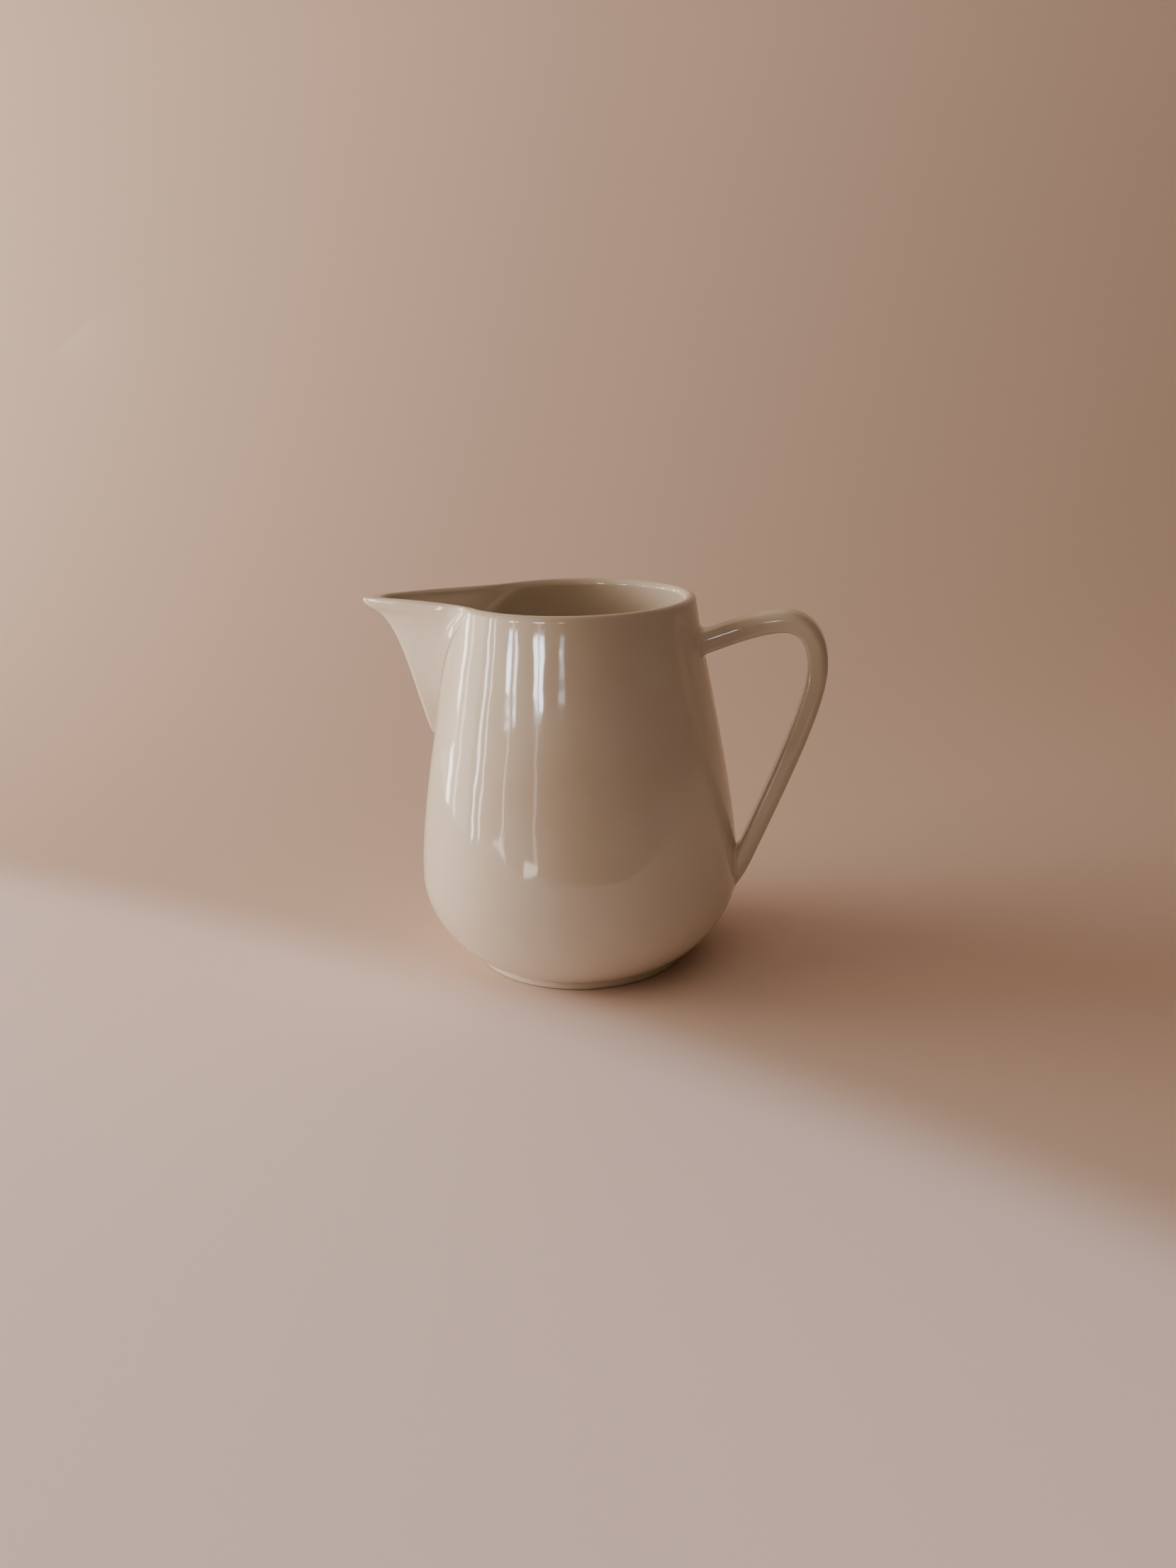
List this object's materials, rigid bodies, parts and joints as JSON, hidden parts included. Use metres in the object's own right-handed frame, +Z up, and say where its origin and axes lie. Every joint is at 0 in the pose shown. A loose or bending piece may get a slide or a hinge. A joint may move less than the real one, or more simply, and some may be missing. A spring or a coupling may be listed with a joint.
{
  "type": "ceramic pitcher",
  "caption": "Glazed round-bodied pitcher with a wide rounded rim, a deep pointed beak spout, a strap handle and a low foot ring.",
  "frame": {"origin": "on the table, under the middle of the outline from spout tip to handle", "axes": "+Z up along the body's axis, +X towards the handle, -X towards the spout, XZ is the plane of symmetry"},
  "size_m": [0.1614, 0.1134, 0.13],
  "materials": {
    "glazed_porcelain": "glossy warm white glaze",
    "foot_clay": "glazed band above a bare, wiped edge"
  },
  "bodies": {
    "root": {"vessel_body": "glazed_porcelain", "spout": "glazed_porcelain", "handle": "glazed_porcelain", "handle_upper_slip_joint": "glazed_porcelain", "handle_lower_slip_joint": "glazed_porcelain", "foot_ring": "foot_clay"}
  },
  "joints": []
}
